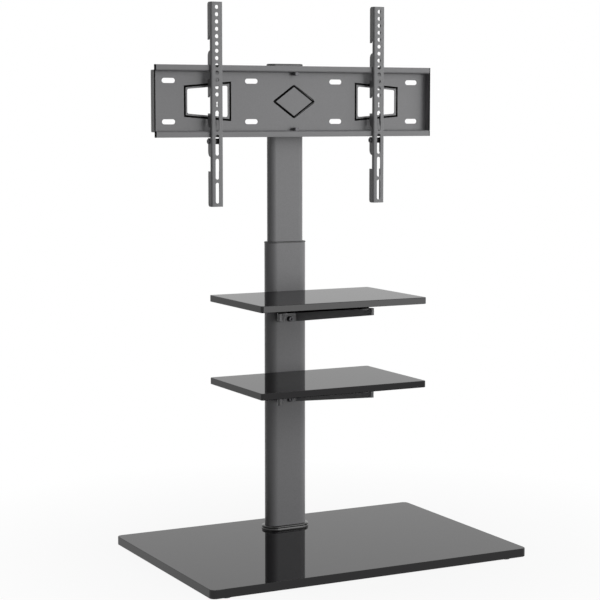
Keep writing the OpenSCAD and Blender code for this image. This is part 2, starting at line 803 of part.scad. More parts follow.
// The long slot in the back wall lets the tube slide on the height bolts
module upper_column() {
    slot_low = height_bolt_z[1] - lift_up;
    slot_high = height_bolt_z[0] + lift_down;
    slot_w = large_d + 2 * hole_clear;
    color(steel_black) difference() {
        translate([0, column_y, upper_bottom]) linear_extrude(upper_in + upper_out) difference() {
            oval(upper_w, upper_d);
            oval(upper_w - 2 * upper_wall, upper_d - 2 * upper_wall);
        }
        through_y(upper_back - upper_wall - over, upper_back + over)
            translate([0, (slot_low + slot_high) / 2]) rotate(90) oval(slot_high - slot_low + slot_w, slot_w);
        at_yoke_bolts(upper_front - over) facing_back()
            cylinder(d = small_d + 2 * hole_clear, h = upper_wall + 2 * over);
    }
}

module column_cap() {
    plug_w = upper_w - 2 * upper_wall - 2 * seat_clear;
    plug_d = upper_d - 2 * upper_wall - 2 * seat_clear;
    color(plastic_black) translate([0, column_y, upper_top]) {
        moulded_oval(upper_w + 2 * cap_over, upper_d + 2 * cap_over, cap_t, mould_round);
        translate([0, 0, -cap_plug]) linear_extrude(cap_plug) difference() {
            oval(plug_w, plug_d);
            oval(plug_w - 2 * cap_wall, plug_d - 2 * cap_wall);
        }
    }
}

// Plastic shoe on the upper tube's bottom end; its open front passes the shelf nuts
module mast_glide() {
    low = upper_bottom - glide_lip;
    color(plastic_black) difference() {
        translate([0, column_y, low]) linear_extrude(glide_h)
            oval(lower_w - 2 * lower_wall - 2 * slide_clear, lower_d - 2 * lower_wall - 2 * slide_clear);
        translate([0, column_y, upper_bottom]) linear_extrude(glide_h)
            oval(upper_w + 2 * seat_clear, upper_d + 2 * seat_clear);
        translate([0, column_y, low - over]) linear_extrude(glide_lip + 2 * over)
            oval(upper_w - 2 * upper_wall, upper_d - 2 * upper_wall);
        translate([-glide_channel_w / 2, lower_front, low - over])
            cube([glide_channel_w, upper_front - lower_front, glide_h + 2 * over]);
    }
}

/* Swivel */

wall_outside = recess_half + tray_t;
ear_inside = wall_outside + pivot_washer_t + 2 * pivot_play;
ear_outside = ear_inside + yoke_t;

// Folded bracket on the upper tube, with one ear above the tray and one below
module swivel_yoke() {
    middle = ear_inside + yoke_t / 2;
    nose = pivot_y - yoke_nose_r;
    back = upper_front - yoke_t / 2;
    color(steel_black) difference() {
        intersection() {
            translate([0, 0, tray_z]) across(yoke_w) folded_section(
                [[nose, middle], [back, middle], [back, -middle], [nose, -middle]], yoke_t, yoke_fold_r
            );
            translate([0, 0, tray_z - tray_h]) linear_extrude(2 * tray_h) {
                translate([0, pivot_y]) circle(yoke_nose_r);
                polygon([
                    [-yoke_nose_r, pivot_y], [yoke_nose_r, pivot_y],
                    [yoke_w / 2, back - yoke_fold_r], [yoke_w / 2, upper_front],
                    [-yoke_w / 2, upper_front], [-yoke_w / 2, back - yoke_fold_r],
                ]);
            }
        }
        for (side = [-1, 1]) translate([0, pivot_y, tray_z + side * middle])
            cylinder(d = pivot_d + 2 * pivot_clear, h = yoke_t + 2 * over, center = true);
        at_yoke_bolts(upper_front - yoke_t - over) facing_back()
            cylinder(d = small_d + 2 * hole_clear, h = yoke_t + 2 * over);
    }
}

module yoke_bolts() {
    length = yoke_t + upper_wall + yoke_nut_t;
    color(zinc_black) at_yoke_bolts(upper_front - yoke_t) facing_front()
        screw(small_d, length, small_head_d, yoke_head_h, yoke_socket);
}

module yoke_nut_plate() {
    front = upper_front + upper_wall;
    color(zinc_black) difference() {
        translate([-yoke_nut_w / 2, front, tray_z - yoke_nut_h / 2])
            cube([yoke_nut_w, yoke_nut_t, yoke_nut_h]);
        at_yoke_bolts(front - over) facing_back()
            cylinder(d = small_d + 2 * thread_clear, h = yoke_nut_t + 2 * over);
    }
}

// Children are placed at both pivots, with Z pointing away from the tray's middle
module at_pivots(height) {
    translate([0, pivot_y, tray_z])
        for (side = [0, 1]) mirror([0, 0, side]) translate([0, 0, height]) children();
}

module pivot_washers() {
    color(plastic_black) at_pivots(ear_inside - pivot_washer_t)
        washer(pivot_washer_d, pivot_d + 2 * pivot_clear, pivot_washer_t);
}

module pivot_bolts() {
    head_at = ear_outside + pivot_play;
    length = head_at - recess_half + pivot_nut_h;
    color(zinc_black) at_pivots(head_at) screw(pivot_d, length, pivot_head_d, pivot_head_h, large_socket);
}

module pivot_nuts() {
    color(zinc_black) at_pivots(recess_half - pivot_nut_h)
        rotate(30) hex_nut(pivot_nut_af, pivot_d + 2 * thread_clear, pivot_nut_h);
}

/* Mount tray */

window_middle = window_near + window_l / 2;
window_slope = (window_tall - window_short) / 2 / window_l;

// Corner middles of a window's outline set out by a gap, with corners of radius r
function window_corners(out, r, side) =
    let (l = window_l / 2 + out - r, mid = (window_tall + window_short) / 4 + out - r)
    let (near = mid + window_slope * l, far = mid - window_slope * l, x = window_middle)
    side > 0
        ? [[x - l, -near], [x + l, -far], [x + l, far], [x - l, near]]
        : [[-x - l, -far], [-x + l, -near], [-x + l, near], [-x - l, far]];

module window_outline(out, r, side) {
    rounded_outline(window_corners(out, r, side), r);
}

diamond_reach = [diamond_w / 2 - diamond_r, diamond_h / 2 - diamond_r];
diamond_corners = [
    [diamond_reach[0], 0], [0, diamond_reach[1]], [-diamond_reach[0], 0], [0, -diamond_reach[1]],
];

// The band that a pressed groove covers, at a given width
module groove_bands(width) {
    for (side = [-1, 1]) difference() {
        window_outline(groove_gap + width / 2, groove_r + width / 2, side);
        window_outline(groove_gap - width / 2, max(groove_r - width / 2, least_r), side);
    }
    difference() {
        rounded_outline(diamond_corners, diamond_r + width / 2);
        rounded_outline(diamond_corners, max(diamond_r - width / 2, least_r));
    }
}

module tray_holes() {
    for (side = [-1, 1], up = [-1, 1], x = [tray_slot_in, tray_slot_out])
        translate([side * x, up * tray_slot_up]) oval(tray_slot_l, tray_slot_w);
    for (side = [-1, 1]) window_outline(0, window_r, side);
}

// Hat-shaped pressing with closed ends, pressed grooves, two windows and eight slots
module mount_tray() {
    lip_line = lip_front + tray_t / 2;
    panel_line = panel_back - tray_t / 2;
    wall_line = recess_half + tray_t / 2;
    edge = tray_h / 2;
    groove_back = groove_depth + groove_skin - tray_t;
    color(steel_black) translate([0, 0, tray_z]) difference() {
        union() {
            across(tray_w) folded_section([
                [lip_line, edge], [lip_line, wall_line], [panel_line, wall_line],
                [panel_line, -wall_line], [lip_line, -wall_line], [lip_line, -edge],
            ], tray_t, tray_fold_r);
            for (side = [-1, 1]) translate([side * (tray_w - tray_t) / 2, 0, 0]) across(tray_t)
                translate([lip_front, -wall_line]) square([tray_d - tray_t / 2, 2 * wall_line]);
            through_y(panel_front + tray_t / 2, panel_back + groove_back) groove_bands(groove_w + tray_t);
        }
        through_y(panel_front - over, panel_front + groove_depth) groove_bands(groove_w);
        through_y(panel_front - over, panel_back + groove_back + over) tray_holes();
        for (side = [-1, 1]) translate([0, pivot_y, side * wall_line])
            cylinder(d = pivot_d + 2 * thread_clear, h = tray_t + 2 * over, center = true);
    }
}

/* Arms */

// The sleeve around the lock screw lies just under the tray's bottom edge
lock_y = arm_back - lock_inset;
lock_z = tray_z - tray_h / 2 - lock_gap - lock_sleeve_d / 2;

// Heights of the notches and tongues along the arm's flanges
first_notch_top = arm_top - flange_top_l;
hook_top = tray_z + tray_h / 2 + hook_rise;
tongue_top = tray_z + recess_half - tongue_drop;
tongue_low_top = tray_z - tongue_low_drop;
foot_top = tray_z - tray_h / 2 - foot_gap;
last_flange_top = foot_top - foot_l - notch_low_l;

// Side view of an arm: the lips pass the notches, the hook's finger hangs behind the top lip
module arm_side() {
    round_r = arm_back - face_back;
    lip_top = tray_z + tray_h / 2 + slide_clear;
    finger_front = lip_back + slide_clear;
    finger_end = lip_top - hook_finger;
    polygon(concat(
        [[arm_front, arm_bottom], [arm_front, arm_top]],
        arc([arm_back - arm_corner_r, arm_top - arm_corner_r], arm_corner_r, 90, 0),
        [[arm_back, first_notch_top], [arm_back - tooth_tip, first_notch_top]],
        [[face_back, first_notch_top + tooth_rise], [face_back, hook_top]],
        arc([face_back, hook_top - round_r], round_r, 90, 0),
        [[arm_back, finger_end], [finger_front, finger_end], [finger_front, lip_top], [face_back, lip_top]],
        [[face_back, tongue_top], [arm_back, tongue_top], [arm_back, tongue_top - tongue_l]],
        [[arm_back - tooth_tip, tongue_top - tongue_l], [face_back, tongue_top - tongue_l + tooth_rise]],
        [[face_back, tongue_low_top], [arm_back, tongue_low_top]],
        arc([face_back, tongue_low_top - tongue_low_l + round_r], round_r, 0, -90),
        [[face_back, foot_top], [arm_back, foot_top]],
        arc([face_back, foot_top - foot_l + round_r], round_r, 0, -90),
        [[face_back, last_flange_top], [arm_back, last_flange_top]],
        arc([arm_back - arm_corner_r, arm_bottom + arm_corner_r], arm_corner_r, 0, -90)
    ));
}

module arm_holes() {
    last_hole = arm_top - arm_hole_first - (arm_hole_count - 1) * arm_hole_pitch;
    sight_slot = last_hole - sight_slot_gap;
    slots_top = sight_slot - sight_slot_l / 2 - arm_slot_gap;
    slot_pitch = (slots_top - arm_bottom - arm_slot_rim + arm_slot_bridge) / arm_slot_count;
    slot_l = slot_pitch - arm_slot_bridge;
    for (i = [0:arm_hole_count - 1]) translate([0, last_hole + i * arm_hole_pitch]) circle(d = arm_hole_d);
    for (i = [0:arm_slot_count - 1]) translate([0, slots_top - slot_l / 2 - i * slot_pitch])
        rotate(90) oval(slot_l, arm_slot_w);
    translate([0, sight_slot]) {
        square([sight_slot_neck, sight_slot_l - sight_slot_d], center = true);
        for (end = [-1, 1]) translate([0, end * (sight_slot_l - sight_slot_d) / 2]) circle(d = sight_slot_d);
    }
}

// A folded channel with holes and slots for the screen's screws and notched hook flanges
module hook_arm(x) {
    half = (arm_w - arm_t) / 2;
    front = arm_front + arm_t / 2;
    color(steel_black) translate([x, 0, 0]) difference() {
        intersection() {
            translate([0, 0, arm_bottom]) linear_extrude(arm_h) folded_section(
                [[-half, arm_back], [-half, front], [half, front], [half, arm_back]], arm_t, arm_fold_r
            );
            across(arm_w + 2 * over) arm_side();
        }
        through_y(arm_front - over, arm_front + arm_t + over) arm_holes();
        translate([-arm_w / 2 - over, lock_y, lock_z]) rotate([0, 90, 0])
            cylinder(d = lock_d + 2 * thread_clear, h = arm_w + 2 * over);
    }
}

module arm_left() hook_arm(-arm_left_x);

module arm_right() hook_arm(arm_right_x);

// A cross screw under the tray keeps the arm from being lifted off the lips
module lock_screw(x) {
    color(zinc_black) translate([x - arm_w / 2, lock_y, lock_z]) rotate([0, -90, 0])
        screw(lock_d, arm_w + lock_nut_h + thread_out, lock_head_d, lock_head_h, lock_socket);
}

module lock_sleeve(x) {
    length = arm_w - 2 * arm_t - 2 * seat_clear;
    color(plastic_black) translate([x - length / 2, lock_y, lock_z]) rotate([0, 90, 0])
        washer(lock_sleeve_d, lock_d + 2 * thread_clear, length);
}

module lock_nut(x) {
    color(zinc_black) translate([x + arm_w / 2, lock_y, lock_z]) rotate([0, 90, 0])
        hex_nut(lock_nut_af, lock_d + 2 * thread_clear, lock_nut_h);
}

module lock_screw_left() lock_screw(-arm_left_x);

module lock_sleeve_left() lock_sleeve(-arm_left_x);

module lock_nut_left() lock_nut(-arm_left_x);

module lock_screw_right() lock_screw(arm_right_x);

module lock_sleeve_right() lock_sleeve(arm_right_x);

module lock_nut_right() lock_nut(arm_right_x);

base_board();
base_feet();
foot_ring();
column_foot_plate();
under_plate();
base_bolts();
lower_column();
guide_bush();
height_bolts();
height_washers();
clamp_plate();
shelf_upper();
shelf_lower();
shelf_bracket_upper();
shelf_bracket_lower();
shelf_pads_upper();
shelf_pads_lower();
bracket_bolts();
bracket_washers();
bracket_nut_plates();
upper_column();
column_cap();
mast_glide();
swivel_yoke();
yoke_bolts();
yoke_nut_plate();
pivot_washers();
mount_tray();
pivot_bolts();
pivot_nuts();
arm_left();
lock_screw_left();
lock_sleeve_left();
lock_nut_left();
arm_right();
lock_screw_right();
lock_sleeve_right();
lock_nut_right();
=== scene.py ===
import math

import bmesh
import bpy
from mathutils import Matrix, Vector


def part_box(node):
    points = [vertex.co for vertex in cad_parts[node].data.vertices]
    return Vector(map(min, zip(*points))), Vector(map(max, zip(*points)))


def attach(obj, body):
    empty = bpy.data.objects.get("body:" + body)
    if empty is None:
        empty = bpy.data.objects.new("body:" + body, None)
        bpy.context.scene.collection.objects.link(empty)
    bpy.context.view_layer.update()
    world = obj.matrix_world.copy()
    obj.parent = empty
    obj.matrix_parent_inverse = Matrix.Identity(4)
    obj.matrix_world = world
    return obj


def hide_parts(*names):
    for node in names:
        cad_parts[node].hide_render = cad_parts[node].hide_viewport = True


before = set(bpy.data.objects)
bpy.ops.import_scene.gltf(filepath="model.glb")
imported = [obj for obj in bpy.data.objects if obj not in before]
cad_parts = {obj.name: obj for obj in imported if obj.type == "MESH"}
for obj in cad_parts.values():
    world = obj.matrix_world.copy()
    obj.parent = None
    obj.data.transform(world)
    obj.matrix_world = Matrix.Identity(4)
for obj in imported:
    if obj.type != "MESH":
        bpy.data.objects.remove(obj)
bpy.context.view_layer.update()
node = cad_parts

# Base board: an 18 mm board of dense fibreboard with a small bevel along its edges.
# It is sprayed with black lacquer and polished until it mirrors the column, while
# the underside keeps a matt sealing coat.


class Wire:
    """One output of a node: arithmetic adds Math nodes, and node() adds any other node."""

    def __init__(self, tree, socket=None):
        self.tree = tree
        self.socket = socket

    def node(self, kind, settings=None, sockets=None, output=0):
        made = self.tree.nodes.new(kind)
        for name, value in (settings or {}).items():
            if name == "choices":
                while len(made.index_switch_items) < value:
                    made.index_switch_items.new()
            else:
                setattr(made, name, value)
        for name, value in (sockets or {}).items():
            if isinstance(value, Wire):
                self.tree.links.new(value.socket, made.inputs[name])
            else:
                made.inputs[name].default_value = value
        return Wire(self.tree, made.outputs[output])

    def maths(self, operation, *values):
        return self.node("ShaderNodeMath", {"operation": operation}, dict(enumerate(values)))

    def __add__(self, other):
        return self.maths("ADD", self, other)

    __radd__ = __add__

    def __sub__(self, other):
        return self.maths("SUBTRACT", self, other)

    def __rsub__(self, other):
        return self.maths("SUBTRACT", other, self)

    def __mul__(self, other):
        return self.maths("MULTIPLY", self, other)

    __rmul__ = __mul__

    def __truediv__(self, other):
        return self.maths("DIVIDE", self, other)

    def __mod__(self, other):
        return self.maths("MODULO", self, other)

    def __lt__(self, other):
        return self.maths("LESS_THAN", self, other)

    def __gt__(self, other):
        return self.maths("GREATER_THAN", self, other)


def coating(name, **plain):
    """A new material: the material, its shader, a wire to draw with, and object coordinates.

    The plain values are the same all over, and go on the shader's own sockets.
    """
    material = bpy.data.materials.new(name)
    material.use_nodes = True
    shader = material.node_tree.nodes["Principled BSDF"]
    for socket, value in plain.items():
        shader.inputs[socket.replace("_", " ")].default_value = value
    draw = Wire(material.node_tree)
    return material, shader, draw, draw.node("ShaderNodeTexCoord", output="Object")


def join(wire, shader, socket):
    wire.tree.links.new(wire.socket, shader.inputs[socket])


def noise(draw, place, scale, detail=2.0, roughness=0.5):
    """Soft noise from 0 to 1; scale is in patches per metre."""
    sockets = {"Vector": place, "Scale": scale, "Detail": detail, "Roughness": roughness}
    return draw.node("ShaderNodeTexNoise", sockets=sockets)


def between(draw, share, low, high):
    """A colour on the way from low to high, each of them a plain colour or a wire."""
    low, high = [end if isinstance(end, Wire) else (*end, 1.0) for end in (low, high)]
    return draw.node("ShaderNodeMix", {"data_type": "RGBA"}, {0: share, 6: low, 7: high}, output=2)


def bump(draw, height, strength, distance):
    """A normal raised by height; distance is in metres."""
    sockets = {"Height": height, "Strength": strength, "Distance": distance}
    return draw.node("ShaderNodeBump", sockets=sockets)


def lacquered_board(name, cover, polish, haze):
    """Black lacquer under a clear coat that mirrors, a little wavy, with faint polishing marks.

    Cover is how strongly the coat mirrors, polish its roughness, and haze what the marks take.
    """
    plain = {"Specular_IOR_Level": 0.0, "Coat_Roughness": polish}
    material, shader, draw, place = coating(name, **plain)
    waves = noise(draw, place, scale=9.0, detail=1.0)
    marks = noise(draw, place, scale=320.0, detail=4.0, roughness=0.65)
    speckle = noise(draw, place, scale=900.0)
    normal = draw.node("ShaderNodeNewGeometry", output="Normal")
    upright = draw.node("ShaderNodeSeparateXYZ", sockets={0: normal}, output=2)
    below = upright < -0.9
    lacquer = between(draw, marks, (0.005, 0.0044, 0.0055), (0.008, 0.0071, 0.0088))
    sealed = between(draw, speckle, (0.016, 0.015, 0.014), (0.03, 0.028, 0.026))
    join(between(draw, below, lacquer, sealed), shader, "Base Color")
    join((cover - haze * marks) * (1 - below), shader, "Coat Weight")
    join(0.4 + 0.1 * marks + 0.15 * below, shader, "Roughness")
    join(bump(draw, waves + 0.002 * marks, strength=0.05, distance=0.002), shader, "Normal")
    return material


def dress(name, material):
    """Gives a CAD node its finish."""
    made = node[name]
    made.data.materials.clear()
    made.data.materials.append(material)


base_lacquer = lacquered_board("base lacquer", cover=0.75, polish=0.012, haze=0.08)
dress("base_board", base_lacquer)

# Feet: four turned pads of black rubber, with a softly rounded tread and a screwed
# recess in the middle. Each is pressed and screwed into the underside of the board.


def lathe(name, sizes, outline, around=48):
    """A node tree that turns an outline round an axis and stands one part on every seat.

    A size named Straight pulls the two halves apart, which turns a round part into an oval one.
    """
    tree = bpy.data.node_groups.new(name, "GeometryNodeTree")
    tree.interface.new_socket("Seats", in_out="INPUT", socket_type="NodeSocketGeometry")
    for size in sizes:
        tree.interface.new_socket(size, in_out="INPUT", socket_type="NodeSocketFloat")
    tree.interface.new_socket("Finish", in_out="INPUT", socket_type="NodeSocketMaterial")
    tree.interface.new_socket("Parts", in_out="OUTPUT", socket_type="NodeSocketGeometry")
    given = {s.name: Wire(tree, s) for s in tree.nodes.new("NodeGroupInput").outputs}
    draw = Wire(tree)
    half_step = 0.5
    points = around + 1
    index = draw.node("GeometryNodeInputIndex") + half_step
    row = draw.maths("FLOOR", index / points)
    oval = "Straight" in sizes
    step = draw.maths("FLOOR", index % points) + half_step * oval
    angle = step * (2 * math.pi / around)
    rows = outline(*[given[size] for size in sizes], angle)
    switch = {"data_type": "FLOAT", "choices": len(rows)}
    radius, height = [
        draw.node("GeometryNodeIndexSwitch", switch, {0: row, **dict(enumerate(one, 1))})
        for one in zip(*rows)
    ]
    across = radius * draw.maths("COSINE", angle)
    along = radius * draw.maths("SINE", angle)
    if oval:
        across = across + draw.maths("SIGN", across) * (given["Straight"] * 0.5)
    place = draw.node("ShaderNodeCombineXYZ", sockets={0: across, 1: along, 2: height})
    counts = {"Vertices X": len(rows), "Vertices Y": points}
    grid = draw.node("GeometryNodeMeshGrid", sockets=counts)
    shaped = {"Geometry": grid, "Position": place}
    part = draw.node("GeometryNodeSetPosition", sockets=shaped)
    weld = {"Geometry": part, "Distance": 1e-6}
    part = draw.node("GeometryNodeMergeByDistance", sockets=weld)
    vector = {"data_type": "FLOAT_VECTOR"}
    turn = draw.node("GeometryNodeInputNamedAttribute", vector, {"Name": "turn"})
    turn = draw.node("FunctionNodeEulerToRotation", sockets={0: turn})
    stood = {"Points": given["Seats"], "Instance": part, "Rotation": turn}
    parts = draw.node("GeometryNodeInstanceOnPoints", sockets=stood)
    parts = draw.node("GeometryNodeRealizeInstances", sockets={0: parts})
    finished = {"Geometry": parts, "Material": given["Finish"]}
    parts = draw.node("GeometryNodeSetMaterial", sockets=finished)
    join(parts, tree.nodes.new("NodeGroupOutput"), "Parts")
    return tree


def stand(tree, replaced, seats, turn, sizes, material, body):
    """Stands a tree's parts on their seats, as one plain mesh that replaces a CAD node.

    Turn is the way the parts face, or a list with one way for each seat.
    """
    name = replaced + "_turned"
    points = bpy.data.meshes.new(name + "_seats")
    points.from_pydata([tuple(seat) for seat in seats], [], [])
    turns = points.attributes.new("turn", "FLOAT_VECTOR", "POINT")
    ways = turn if isinstance(turn, list) else [turn] * len(seats)
    for item, way in zip(turns.data, ways):
        item.vector = way
    made = bpy.data.objects.new(name, points)
    bpy.context.scene.collection.objects.link(made)
    grown = made.modifiers.new("parts", "NODES")
    grown.node_group = tree
    for item in tree.interface.items_tree:
        if item.in_out == "INPUT" and item.name in sizes:
            grown[item.identifier] = sizes[item.name]
        if item.name == "Finish":
            grown[item.identifier] = material
    shaped = made.evaluated_get(bpy.context.evaluated_depsgraph_get())
    mesh = bpy.data.meshes.new_from_object(shaped)
    mesh.name = name
    mesh.shade_smooth()
    crease = math.radians(35)
    mesh.set_sharp_from_angle(angle=crease)
    made.modifiers.clear()
    made.data = mesh
    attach(made, body)
    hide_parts(replaced)


def rounded(radius, height, ease, steps=4):
    """Rows of a quarter round between a flat top at height and a side at radius."""
    turns = [math.pi / 2 * i / steps for i in range(steps + 1)]
    return [
        (radius - ease * (1 - math.sin(a)), height - ease * (1 - math.cos(a))) for a in turns
    ]


def corners(name, radius, axes):
    """Middles of round parts of one radius that touch the corners of a CAD node's box."""
    low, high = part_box(name)
    found = [Vector()]
    for axis in range(3):
        ends = [low[axis]]
        if axis in axes:
            ends = sorted({round(low[axis] + radius, 7), round(high[axis] - radius, 7)})
        found = [Vector([*at[:axis], end, *at[axis + 1 :]]) for at in found for end in ends]
    return found


def rubber(name, tone):
    """Soft black rubber with a fine moulded grain and a grey bloom."""
    material, shader, draw, place = coating(name, Specular_IOR_Level=0.35)
    grain = noise(draw, place, scale=1500.0, detail=3.0, roughness=0.6)
    bloom = noise(draw, place, scale=110.0, detail=3.0)
    bloomed = (tone * 1.9, tone * 1.9, tone * 1.95)
    join(between(draw, bloom, (tone, tone, tone), bloomed), shader, "Base Color")
    join(0.62 + 0.2 * grain, shader, "Roughness")
    join(bump(draw, grain, strength=0.35, distance=0.0003), shader, "Normal")
    return material


def foot_outline(radius, height, ease, recess, angle):
    """The recess, the rounded tread and a straight side."""
    deep, slope = 0.0012, 0.0006
    tread = [(0.0, height - deep), (recess, height - deep), (recess + slope, height)]
    return [*tread, *rounded(radius, height, ease), (radius, 0.0), (0.0, 0.0)]


downward = (math.pi, 0, 0)
foot_radius = 0.011
foot_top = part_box("base_feet")[1].z
foot_rubber = rubber("foot rubber", tone=0.011)
foot_tree = lathe("turned foot", ["Radius", "Height", "Ease", "Recess"], foot_outline)
foot_rise = Vector((0, 0, foot_top))
foot_seats = [seat + foot_rise for seat in corners("base_feet", foot_radius, (0, 1))]
foot_sizes = {"Radius": foot_radius, "Height": foot_top, "Ease": 0.0014, "Recess": 0.004}
stand(foot_tree, "base_feet", foot_seats, downward, foot_sizes, foot_rubber, "stand")

# Trim ring: a glossy black moulding that slips down the column and covers its joint
# with the board. The mould leaves it smooth, with a slight shrink wave.


def moulded(name, tone, polish, grain_scale, grain_depth):
    """Black injection-moulded plastic; a coarse grain gives it the spark-etched look."""
    material, shader, draw, place = coating(name, IOR=1.5)
    grain = noise(draw, place, grain_scale, detail=3.0, roughness=0.6)
    shrink = noise(draw, place, scale=45.0, detail=1.0)
    deep = (tone, tone, tone * 1.02)
    pale = (tone * 1.4, tone * 1.4, tone * 1.45)
    join(between(draw, grain, deep, pale), shader, "Base Color")
    join(polish + 0.06 * shrink + 0.05 * grain, shader, "Roughness")
    join(bump(draw, grain + 0.6 * shrink, strength=0.25, distance=grain_depth), shader, "Normal")
    return material


def ring_outline(straight, outer, inner, height, angle):
    """A rolled top edge, a shallow waist and a flared foot, in shares of the ring's height."""
    roll = height * 0.32
    turns = [math.pi / 2 - math.pi * 0.62 * i / 6 for i in range(7)]
    crown = [
        (outer - roll * (1.25 - math.cos(a)), height - roll * (1 - math.sin(a))) for a in turns
    ]
    waist = [(outer - roll * 0.42, height * 0.4), (outer - roll * 0.12, height * 0.24)]
    flare = [(outer, height * 0.1), (outer, 0.0)]
    mouth = (inner, height - roll * 0.3)
    lead_in = (inner + roll * 0.4, height)
    return [mouth, lead_in, *crown, *waist, *flare, (inner, 0.0), mouth]


upward = (0, 0, 0)
ring_gloss = moulded(
    "ring gloss", tone=0.006, polish=0.06, grain_scale=700.0, grain_depth=0.00008
)
ring_wall = 0.0074
ring_low, ring_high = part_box("foot_ring")
ring_outer = (ring_high.y - ring_low.y) / 2
ring_names = ["Straight", "Outer", "Inner", "Height"]
ring_tree = lathe("oval ring", ring_names, ring_outline, around=96)
ring_seat = Vector((0, (ring_low.y + ring_high.y) / 2, ring_low.z))
ring_sizes = {
    "Straight": ring_high.x - ring_low.x - 2 * ring_outer,
    "Outer": ring_outer,
    "Inner": ring_outer - ring_wall,
    "Height": ring_high.z - ring_low.z,
}
stand(ring_tree, "foot_ring", [ring_seat], upward, ring_sizes, ring_gloss, "stand")

# Lower column: an oval tube of 2 mm steel, 95 by 40 mm, pulled through a die and cut
# to length. Its powder coat is baked to a fine, faintly sparkling grain.


def powder_coat(name, tone, grain, depth, shade_mask=None):
    """Baked powder: tiny rounded grains, a satin sheen and a soft unevenness from the gun.

    A shade mask, where given, paints shade into the pressed grooves and folded ends: black,
    rougher and metallic there.
    """
    material, shader, draw, place = coating(name, IOR=1.36)
    grains = noise(draw, place, grain, roughness=0.55)
    pores = noise(draw, place, grain * 2.7, roughness=0.6)
    cloud = noise(draw, place, scale=11.0)
    deep = (tone * 0.85, tone * 0.85, tone * 0.87)
    pale = (tone * 1.15, tone * 1.15, tone * 1.18)
    body = between(draw, grains, deep, pale)
    polish = 0.28 + 0.1 * grains + 0.06 * cloud
    # Painted shade: where the mask is 1 the coat turns black, rough and metallic.
    if shade_mask:
        painted_shade = shade_mask(draw, place)
        body = between(draw, painted_shade, body, (0.004, 0.004, 0.004))
        polish = polish + 0.5 * painted_shade
        join(0.8 * painted_shade, shader, "Metallic")
    join(body, shader, "Base Color")
    join(polish, shader, "Roughness")
    join(bump(draw, grains + 0.5 * pores, strength=0.12, distance=depth), shader, "Normal")
    return material


coat_tone = 0.205
tube_coat = powder_coat("tube powder coat", coat_tone, grain=520.0, depth=0.0002)
dress("lower_column", tube_coat)

# Column joint: a threaded plate is welded into the tube's foot, and a clamping plate lies
# in a pocket under the board. Four black zinc-plated socket screws pull them together.


def black_zinc(name, tone):
    """Black-passivated zinc: dark metal with an oily, slightly iridescent bloom."""
    material, shader, draw, place = coating(name, Metallic=0.85)
    cloud = noise(draw, place, scale=240.0, detail=3.0, roughness=0.6)
    fine = noise(draw, place, scale=2600.0)
    deep = (tone, tone, tone * 1.04)
    pale = (tone * 1.7, tone * 1.68, tone * 1.8)
    join(between(draw, cloud, deep, pale), shader, "Base Color")
    join(0.24 + 0.16 * cloud + 0.06 * fine, shader, "Roughness")
    join(bump(draw, fine, strength=0.15, distance=0.0001), shader, "Normal")
    return material


def hexagon(across, angle):
    """Radius of a hexagon of that width across its flats, in one direction."""
    return across / 2 / angle.maths("COSINE", angle % (math.pi / 3) - math.pi / 6)


def screw_outline(head, height, ease, socket, depth, shank, length, angle):
    """A hexagon socket, a rounded head and a plain shank with a tapered tip."""
    chamfer, taper = 0.0003, 0.0008
    rim = hexagon(socket, angle)
    floor = [(0.0, height - depth), (rim, height - depth)]
    mouth = [(rim, height - chamfer), (rim + chamfer, height)]
    under = [(head, chamfer), (head - chamfer, 0.0), (shank, 0.0)]
    tip = [(shank, taper - length), (shank - taper, 0.0 - length), (0.0, 0.0 - length)]
    return [*floor, *mouth, *rounded(head, height, ease), *under, *tip]


screw_names = ["Head", "Height", "Ease", "Socket", "Depth", "Shank", "Length"]
screw_tree = lathe("socket screw", screw_names, screw_outline)
zinc_plate = black_zinc("black zinc plate", tone=0.022)
zinc_screw = black_zinc("black zinc screws", tone=0.045)


def screws(replaced, seats, turn, sizes, body):
    """Socket screws on their seats; Head and Shank are radii, and Socket is across flats."""
    stand(screw_tree, replaced, seats, turn, sizes, zinc_screw, body)


dress("column_foot_plate", zinc_plate)
dress("under_plate", zinc_plate)
base_head = 0.0065
base_plate_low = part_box("under_plate")[0].z
base_corners = corners("base_bolts", base_head, (0, 1))
base_seats = [Vector((at.x, at.y, base_plate_low)) for at in base_corners]
base_sizes = {
    "Head": base_head,
    "Height": 0.0044,
    "Ease": 0.0008,
    "Socket": 0.006,
    "Depth": 0.0026,
    "Shank": 0.004,
    "Length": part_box("base_bolts")[1].z - base_plate_low,
}
screws("base_bolts", base_seats, downward, base_sizes, "stand")

# Guide bush: satin black nylon, moulded to slide inside the mouth of the lower tube.
# Only its thin rolled rim shows, as the line where the two tubes meet.

bush_plastic = moulded(
    "bush plastic", tone=0.016, polish=0.34, grain_scale=1300.0, grain_depth=0.0002
)
dress("guide_bush", bush_plastic)

# Height bolts: two socket screws with washers at the back of the column. They pull a
# threaded bar inside the upper tube and clamp it at the chosen height.

backward = (-math.pi / 2, 0, 0)
height_head, height_rise = 0.0065, 0.008
height_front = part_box("height_bolts")[0].y
height_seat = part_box("height_bolts")[1].y - height_rise
height_corners = corners("height_bolts", height_head, (2,))
height_seats = [Vector((0, height_seat, at.z)) for at in height_corners]
height_sizes = {
    "Head": height_head,
    "Height": height_rise,
    "Ease": 0.0009,
    "Socket": 0.006,
    "Depth": 0.004,
    "Shank": 0.004,
    "Length": height_seat - height_front,
}
screws("height_bolts", height_seats, backward, height_sizes, "stand")
dress("height_washers", zinc_plate)
dress("clamp_plate", zinc_plate)

# Shelves: two 14 mm boards in the same polished lacquer as the base. Each stands free
# of the column on three pads, so its back edge can be seen through the gap.

shelf_lacquer = lacquered_board("shelf lacquer", cover=0.67, polish=0.01, haze=0.08)
dress("shelf_upper", shelf_lacquer)
dress("shelf_lower", shelf_lacquer)

